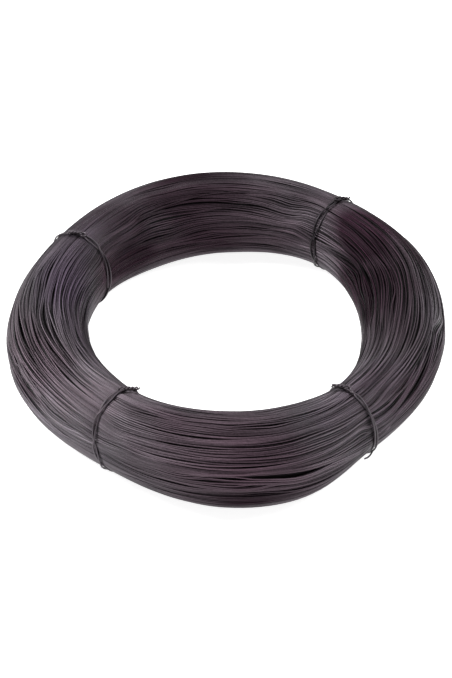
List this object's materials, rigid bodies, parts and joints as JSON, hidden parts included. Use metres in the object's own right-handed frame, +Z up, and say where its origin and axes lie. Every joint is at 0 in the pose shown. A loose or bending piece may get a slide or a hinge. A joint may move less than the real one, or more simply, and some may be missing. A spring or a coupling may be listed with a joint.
{
  "type": "coil of construction wire",
  "caption": "Coil of soft black annealed building wire lying flat, held by doubled and twisted wire ties.",
  "frame": {"origin": "on the axis of the bore, on the floor that the coil lies on", "axes": "+Z up along the bore's axis, -Y towards the front of the coil, where two of the ties have their knots on the inner shoulder, +X to the right seen from the front"},
  "size_m": [0.42, 0.42, 0.088],
  "materials": {
    "annealed_wire": "black oxide scale of box-annealed steel wire, satin",
    "tie_wire": "black annealed steel wire, satin"
  },
  "bodies": {
    "root": {"wire_coil": "annealed_wire", "tie_front_left": "tie_wire", "tie_front_right": "tie_wire", "tie_back_left": "tie_wire", "tie_back_right": "tie_wire"}
  },
  "joints": []
}
